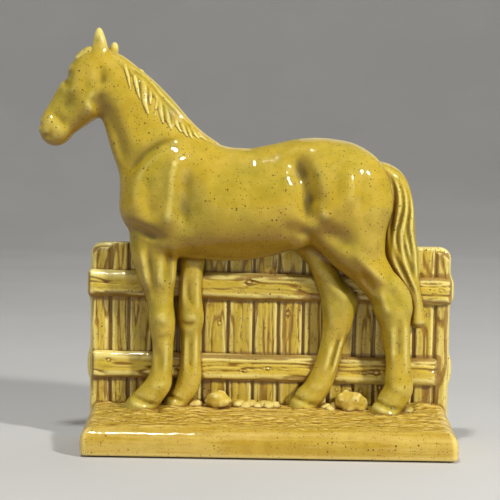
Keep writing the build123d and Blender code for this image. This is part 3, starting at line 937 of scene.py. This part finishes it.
def glaze(name, body, deep, pale, speck_share, olive, shaded=0.35, seam=(134, 88, 46), streaks=0.0):
    """Mustard glaze: pale where it thins over ridges, brown where it pools, mottled, with brown specks; over
    broad swells a painted highlight, and painted shade in broad hollows, crowded places and on undersides.
    """
    p = Painter(name)
    drift = p.span(p.noise(34, 3, 0.55), 0.38, 0.64)
    clouds = p.span(p.noise(9, 4, 0.6), 0.35, 0.68)
    fine = p.span(p.noise(2.2, 3, 0.6), 0.3, 0.7, 0.65, 1.0)
    pooled = p.times(p.attribute("crevice"), fine)
    big = p.times(p.specks(2.6, speck_share * 0.5, 0.26), 0.85)
    small = p.times(p.specks(1.25, speck_share * 0.75, 0.34), 0.7)
    crowd = p.span(p.noise(26, 2), 0.35, 0.62, 0.35, 1.0)
    dots = p.times(p.math("MAXIMUM", big, small), crowd)
    # shadow_brown is the colour of painted shade in crowded places, and the underside colour that of painted
    # shade on undersides
    olive_green, pale_mustard, shadow_brown = (158, 142, 34), (208, 178, 66), (128, 92, 18)
    underside_shade_brown, speck_brown = (118, 80, 10), (74, 42, 10)
    coats = [
        (p.times(drift, olive), olive_green),
        (p.times(clouds, 0.4), pale_mustard),
        # broad swells: thinner glaze and a painted highlight
        (p.times(p.attribute("crest"), 0.55), pale),
        # broad hollows: pooled glaze and painted shade
        (p.times(p.attribute("dip"), 0.88), deep),
        (p.times(p.attribute("ridge"), 0.75), pale),
        (p.times(pooled, 0.85), deep),
        (p.span(p.attribute("contact"), 0.32, 0.8, 0.0, 0.75), seam),
        # painted shade in crowded places
        (p.span(p.attribute("shade"), 0.4, 0.9, 0.0, shaded), shadow_brown),
        # painted shade on surfaces that face down
        (p.span(p.attribute("under"), 0.0, 0.9, 0.0, 0.75), underside_shade_brown),
        (dots, speck_brown),
    ]
    if streaks:
        brushed = p.noise(4.5, 4, 0.65, place=p.stretched(0.09, 1.0, 1.0))
        coats.insert(2, (p.span(brushed, 0.38, 0.66, 0.0, streaks), pale))
    colour = linear(*body)
    for amount, tint in coats:
        colour = p.blend(amount, colour, linear(*tint))
    waves = p.math("ADD", p.noise(7.5, 2), p.times(p.noise(2.4, 2), 0.22))
    ripple = p.bump(p.math("SUBTRACT", waves, p.times(dots, 0.12)), 0.48, 0.0006)
    settings = {
        "Base Color": colour,
        "Roughness": p.span(p.noise(6, 3), 0.3, 0.7, 0.45, 0.6),
        "IOR": 1.5,
        "Specular IOR Level": 0.15,
        "Coat Weight": 0.7,
        "Coat Roughness": 0.03,
        "Coat IOR": 1.5,
        "Normal": ripple,
        "Coat Normal": ripple,
    }
    p.feed(p.shader, settings)
    return p.material


def felt_material():
    p = Painter("felt")
    fibres = p.noise(0.8, 4, 0.7)
    settings = {
        "Base Color": p.blend(p.span(fibres, 0.3, 0.7), linear(38, 58, 40), linear(62, 84, 60)),
        "Roughness": 0.95,
        "Sheen Weight": 0.4,
        "Normal": p.bump(fibres, 0.6, 0.0003),
    }
    p.feed(p.shader, settings)
    return p.material


def floor_material():
    p = Painter("studio_floor")
    tone = p.blend(p.span(p.noise(180, 3), 0.3, 0.7), (0.60, 0.59, 0.57, 1), (0.63, 0.62, 0.60, 1))
    p.feed(p.shader, {"Base Color": tone, "Roughness": 0.8})
    return p.material


# ---- pieces
def plank_knots(rng, low, high, count):
    """Places and sizes of the knots of a board."""
    ranges = ((low[0], high[0]), (low[1], high[1]), (1.0, 1.8))
    return [tuple(rng.uniform(*limits) for limits in ranges) for _ in range(count)]


def make_planks(material, around):
    rng = np.random.default_rng(11)
    pieces = []
    names = sorted(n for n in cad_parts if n.startswith("fence_plank_"))
    for number, name in enumerate(names):
        low, high = node_box(name)
        outer = number in (0, len(names) - 1)
        knots = plank_knots(rng, (30, low[0] + 3), (112, high[0] - 3), rng.integers(0, 3))
        carving = (0.6, 20 + 7 * number, knots)
        span = (low[2] + 0.5, high[2] - 0.2 + 0.4 * rng.normal())
        width = (low[0] - 0.15, high[0] + 0.15)
        edge = 2.4 if outer else 1.4
        corners = [(1, -1 if number == 0 else 1, 7.0)] if outer else [(1, -1, 1.2), (1, 1, 1.2)]
        board = board_mesh(
            span, width, high[1] + 1.0, low[1] + 0.4, edge, carving, plank_place, 0.25, number, corners
        )
        around.add_box(low, high + (0, 1, 0))
        pieces.append(add_piece(name, *board, material))
    return pieces


def make_rails(material, around):
    rng = np.random.default_rng(5)
    slope = math.tan(math.radians(0.55))
    corners = [(end, side, 2.5) for end in (-1, 1) for side in (-1, 1)]

    def place(s, y, t):
        """A rail runs along x and drops towards the right."""
        return np.stack([s, y, t - slope * s], -1)

    pieces = []
    for number, name in enumerate(("rail_top", "rail_bottom")):
        low, high = node_box(name)
        rise = slope * ((high[0] - low[0]) / 2)
        middle = slope * ((high[0] + low[0]) / 2)
        across = (low[2] + rise + middle, high[2] - rise + middle)
        knots = plank_knots(rng, (low[0] + 8, across[0] + 5), (high[0] - 8, across[1] - 5), 9)
        carving = (0.7, 200 + 9 * number, knots)
        span = (low[0] + 0.3, high[0] - 1.2)
        points, faces = board_mesh(
            span, across, high[1] + 1.2, low[1] + 0.2, 3.6, carving, place, 0.5, 40 + number, corners
        )
        around.add_box(low + (0, 0, rise * 0.8), high + (0, 1, -rise * 0.8))
        pieces.append(add_piece(name, points, [face[::-1] for face in faces], material))
    return pieces


def sculpt_panel():
    """The fence's solid back: rounded top corners, and sides that swell where the rails wrap round them."""
    low = np.array((PANEL_LOW[0], PANEL_LOW[1] - 1.2, PANEL_LOW[2] - 4))
    clay = Clay(low - 5, PANEL_HIGH + 5, BODY_VOXEL * 1.2)
    xs, ys, zs = clay.axes
    half = (PANEL_HIGH[0] - PANEL_LOW[0]) / 2
    swell = 2.2 * np.exp(-(((zs - 94) / 8) ** 4)) + 1.6 * np.exp(-(((zs - 46) / 8) ** 4))
    corner, edge = 7.0, 2.2
    px = np.abs(xs)[:, None, None] - (half - corner) - swell[None, None, :]
    py = np.abs(ys - (low[1] + PANEL_HIGH[1]) / 2)[None, :, None] - (PANEL_HIGH[1] - low[1]) / 2
    pz = (zs - (PANEL_HIGH[2] - corner))[None, None, :]
    solid = rounded(edge, rounded(corner, px, pz) + edge, py + edge)
    clay.field = np.maximum(solid, low[2] + 1 - zs[None, None, :]).astype(np.float32)
    return clay


def make_stones(material, around):
    made = []
    for name, seed in (("rock_left", 31), ("rock_right", 32)):
        low, high = node_box(name)
        clay = sculpt_stone(low + (-1, 0, -1), high + (1, 0, 1.5), seed, 2.4)
        around.add_clay(clay)
        made.append(clay_piece(name, clay, material))
    spots = pebble_spots()
    for left, right in zip(spots[:-1], spots[1:]):
        if right[0] - left[0] < PEBBLE_REACH:
            spots.append(((left[0] + right[0]) / 2, left[1] - 2.5, 0.85 * left[2], left[3] - 0.6))
    points, faces, count = [], [], 0
    for seed, (x, y, radius, height) in enumerate(spots):
        low = np.array((x - radius, y - radius * 1.1, PEBBLE_FOOT_Z))
        clay = sculpt_stone(low, np.array((x + radius, y + radius * 1.1, height)), 50 + seed, 1.0)
        around.add_clay(clay)
        part, quads = clay.skin()
        points.append(part)
        faces.append(quads + count)
        count += len(part)
    made.append(add_piece("pebbles", np.vstack(points), np.vstack(faces).tolist(), material))
    return made


def pebble_spots():
    """Where the loose stones lie: the middle, half width and top of each connected part of the CAD group."""
    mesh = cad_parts["pebbles"].data
    co = read(mesh.vertices, "co", 3) / MM
    places = np.unique(np.round(co, 4), axis=0, return_inverse=True)[1].ravel()
    label = part_labels(places.max() + 1, places[read(mesh.edges, "vertices", 2, int)])[places]
    spots = []
    for part in np.unique(label):
        low, high = co[label == part].min(0), co[label == part].max(0)
        middle, half = (low + high) / 2, (high - low) / 2
        spots.append((middle[0], middle[1], half[0] + 1.5, high[2] + 2.0))
    return sorted(spots)


def make_felt(material):
    """A thin pad with a slightly soft edge."""
    low, high = node_box("base_felt")
    edge, corner, steps = 0.3, 3.0, 6
    rings = ((low[2], edge), (low[2] + edge, 0), (high[2] - 0.1, 0), (high[2] + 0.3, 0.2))
    points = []
    for z, inset in rings:
        for quarter, (sx, sy) in enumerate(((1, 1), (-1, 1), (-1, -1), (1, -1))):
            for step in range(steps + 1):
                angle = (quarter + step / steps) * math.pi / 2
                x = sx * (high[0] - corner) + (corner - inset) * math.cos(angle)
                y = sy * (high[1] - corner) + (corner - inset) * math.sin(angle)
                points.append((x, y, z))
    faces = loft_faces(len(rings), 4 * (steps + 1))
    add_piece("base_felt", points, faces, material, slot="felt", smooth=False)


# ---- studio
def make_studio():
    """A round floor that sweeps up into a wall all the way round, so that it is plain from every side."""
    bend, flat, top, bend_steps, turns = 1.1, 1.7, 3.2, 12, 96
    profile = [(0.4, 0.0), (1.0, 0.0), (flat, 0.0)]
    for step in range(1, bend_steps + 1):
        angle = step / bend_steps * math.pi / 2
        profile.append((flat + bend * math.sin(angle), bend * (1 - math.cos(angle))))
    profile.append((flat + bend, top))
    ring = [(math.cos(angle), math.sin(angle)) for angle in np.arange(turns) / turns * 2 * math.pi]
    points = [(r * x / MM, r * y / MM, z / MM) for r, z in profile for x, y in ring]
    faces = loft_faces(len(profile), turns)
    open_top = [face[::-1] for face in faces[:-1]]
    floor = make_mesh("studio_floor", points, open_top)
    floor.data.materials.append(floor_material())


def make_lights():
    """A key light at the lower right front, one high up, and two wide weak ones: a fill and one behind."""
    lamps = (
        ("key", (1.0, -0.98, 0.85), 20.5, 0.12, (1.0, 0.99, 0.96)),
        ("high", (-0.2, -0.6, 1.75), 13.5, 0.13, (1.0, 1.0, 0.98)),
        ("fill", (-1.2, -1.1, 0.6), 2.2, 1.3, (0.97, 0.98, 1.0)),
        ("back", (0.5, 1.5, 1.1), 3.5, 1.2, (1.0, 1.0, 1.0)),
    )
    middle = Vector((0, 0, 0.12))
    for name, place, power, size, colour in lamps:
        data = bpy.data.lights.new(name, "AREA")
        data.energy, data.size, data.color = power, size, colour
        lamp = add_object(name, data)
        lamp.location = place
        lamp.rotation_euler = (middle - Vector(place)).to_track_quat("-Z", "Y").to_euler()
    world = bpy.data.worlds.new("studio_light")
    world.use_nodes = True
    background = world.node_tree.nodes["Background"]
    background.inputs["Color"].default_value = (0.95, 0.97, 1.0, 1)
    background.inputs["Strength"].default_value = 0.22
    bpy.context.scene.world = world
    bpy.context.scene.view_settings.view_transform = "Standard"


def make_camera():
    """One metre from the lip, a little above the object's middle, with a long lens."""
    data = bpy.data.cameras.new("camera")
    data.sensor_width = 36
    data.lens = 126.6
    data.clip_start, data.clip_end = 0.05, 20
    camera = add_object("camera", data)
    elevation, roll, distance = math.radians(4.0), math.radians(0.95), 1.0
    target = Vector((-12.9, PLINTH_LOW[1], 121.0)) * MM
    back = Vector((0.0, -math.cos(elevation), math.sin(elevation)))
    turn = (-back).to_track_quat("-Z", "Y").to_matrix().to_4x4() @ Matrix.Rotation(roll, 4, "Z")
    camera.matrix_world = Matrix.Translation(target + back * distance) @ turn
    bpy.context.scene.camera = camera


HORSE_NODES = [
    "horse_torso", "horse_neck", "horse_head", "ear_near", "ear_far", "sheath", "foreleg_near", "foreleg_far",
    "hindleg_near", "hindleg_far", "hoof_fore_near", "hoof_fore_far", "hoof_hind_near", "hoof_hind_far",
]


def main():
    body_glaze = glaze(
        "glaze_horse", (184, 155, 36), (92, 76, 6), (232, 216, 124), speck_share=0.95, olive=0.75
    )
    wood_glaze = glaze(
        "glaze_fence", (208, 178, 58), (160, 126, 40), (246, 232, 150),
        speck_share=0.8, olive=0.35, shaded=0.05, seam=(140, 96, 34),
    )
    earth_glaze = glaze(
        "glaze_ground", (180, 142, 34), (116, 74, 30), (236, 208, 118),
        speck_share=1.0, olive=0.25, streaks=0.35,
    )
    stone_glaze = glaze(
        "glaze_stone", (206, 176, 72), (130, 92, 38), (240, 224, 146), speck_share=0.6, olive=0.3
    )

    horse = sculpt_horse()
    mane, tail = sculpt_mane(horse), sculpt_tail()
    base, panel = sculpt_base(), sculpt_panel()
    around = Surroundings()
    for clay in (horse, mane, tail, base, panel):
        around.add_clay(clay)
    boards = make_planks(wood_glaze, around) + make_rails(wood_glaze, around)
    stones = make_stones(stone_glaze, around)

    # each sculpted piece, with how much its grooves are smoothed and how strongly they count for the glaze
    sculpted = (
        ("horse", horse, body_glaze, HORSE_NODES, 2, 1.4),
        ("mane", mane, body_glaze, ["mane"], 2, 1.4),
        ("tail", tail, body_glaze, ["tail"], 2, 1.4),
        ("base", base, earth_glaze, ["plinth", "ground"], 1, 2.2),
        ("fence_panel", panel, wood_glaze, ["fence_panel"], 1, 1.0),
    )
    for name, clay, material, nodes, rounds, groove_scale in sculpted:
        weather(clay_piece(name, clay, material, nodes), around, rounds, groove_scale)
    for board in boards:
        weather(board, around, groove_scale=0.55)
    for stone in stones:
        weather(stone, around)
    make_felt(felt_material())

    make_studio()
    make_lights()
    make_camera()


main()
